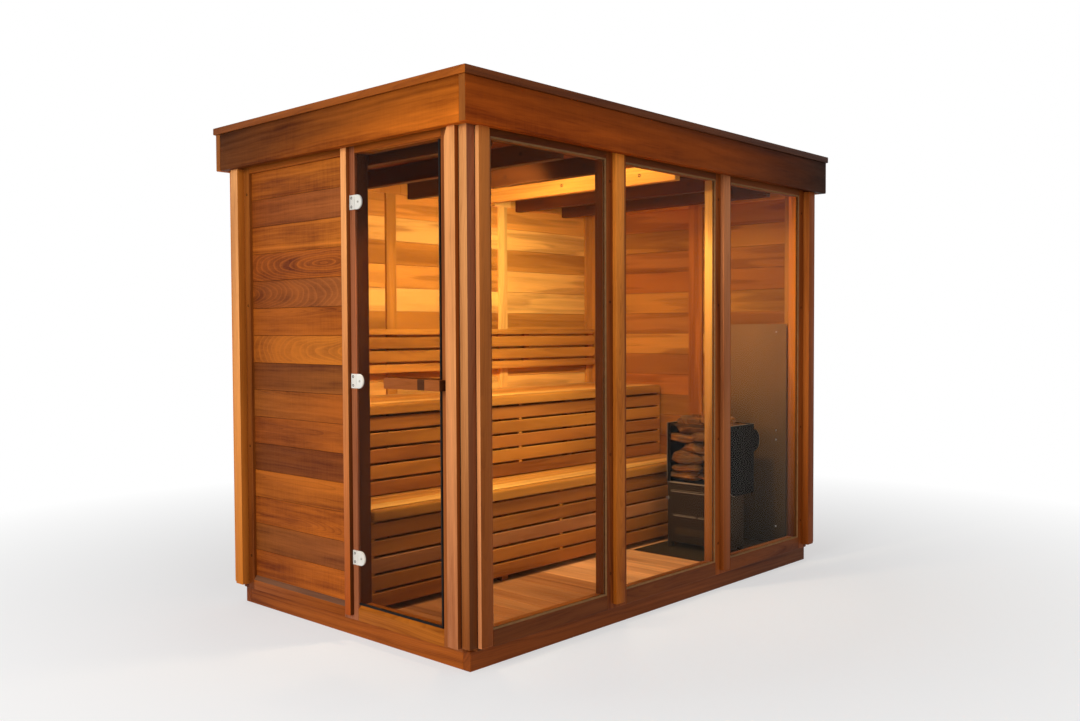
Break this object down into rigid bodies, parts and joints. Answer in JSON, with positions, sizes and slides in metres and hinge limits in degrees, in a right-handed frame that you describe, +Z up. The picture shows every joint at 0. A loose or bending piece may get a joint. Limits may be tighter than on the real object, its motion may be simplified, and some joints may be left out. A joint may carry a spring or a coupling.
{
  "type": "cube sauna cabin",
  "caption": "Flat-roofed timber sauna cabin with one glazed long wall, a hinged glass door in the end wall, tiered benches with a backrest, and a stone heater.",
  "frame": {"origin": "on the floor under the middle of the base", "axes": "+Z up, +Y along the length away from the door wall, +X towards the glazed long wall"},
  "size_m": [1.638, 2.568, 2.11],
  "materials": {
    "exterior_cedar": "oiled red-brown cedar with visible grain, varied from board to board",
    "dark_cedar": "darker oiled cedar",
    "interior_cedar": "planed golden cedar, unfinished",
    "window_glass": "clear toughened glass with a faint bronze tint",
    "door_glass": "toughened glass with a smoke tint",
    "hinge_metal": "satin nickel",
    "heater_black": "satin black enamel",
    "stone": "rough grey-brown stones",
    "shield_metal": "plain sheet metal"
  },
  "bodies": {
    "cabin": {"base_side_boards": "exterior_cedar", "base_end_boards": "exterior_cedar", "floor_bearers": "interior_cedar", "floor_boards": "interior_cedar", "corner_posts": "dark_cedar", "corner_battens": "exterior_cedar", "cover_battens": "exterior_cedar", "glazed_wall_stiles": "exterior_cedar", "glazed_wall_rails": "exterior_cedar", "window_panes": "window_glass", "left_wall_stiles": "exterior_cedar", "left_wall_rails": "exterior_cedar", "left_wall_siding": "exterior_cedar", "back_wall_stiles": "exterior_cedar", "back_wall_rails": "exterior_cedar", "back_wall_siding": "exterior_cedar", "front_wall_stiles": "exterior_cedar", "front_wall_rails": "exterior_cedar", "front_wall_siding": "exterior_cedar", "door_header": "exterior_cedar", "door_threshold": "exterior_cedar", "hinge_jamb_plates": "hinge_metal", "roof_panel": "interior_cedar", "fascia_side_boards": "exterior_cedar", "fascia_end_boards": "exterior_cedar", "cap_side_boards": "dark_cedar", "cap_end_boards": "dark_cedar", "roof_boards": "dark_cedar", "ceiling_joists": "interior_cedar", "upper_bench_seat": "interior_cedar", "upper_bench_skirt": "interior_cedar", "lower_bench_seat": "interior_cedar", "lower_bench_skirt": "interior_cedar", "bench_supports": "interior_cedar", "backrest_slats": "interior_cedar", "backrest_blocks": "interior_cedar", "heater_pedestal": "heater_black", "heater_cage": "heater_black", "heater_stones": "stone", "heat_shield": "shield_metal", "floor_plate": "shield_metal"},
    "door": {"door_glass": "door_glass", "hinge_leaf_plates": "hinge_metal", "outer_handle": "dark_cedar", "inner_handle": "dark_cedar"}
  },
  "joints": [
    {"name": "door_hinge", "type": "hinge", "parent": "cabin", "child": "door", "pos_m": [0.1195, -1.2243, 1.0165], "axis": [0, 0, -1], "range_deg": [0, 110]}
  ]
}
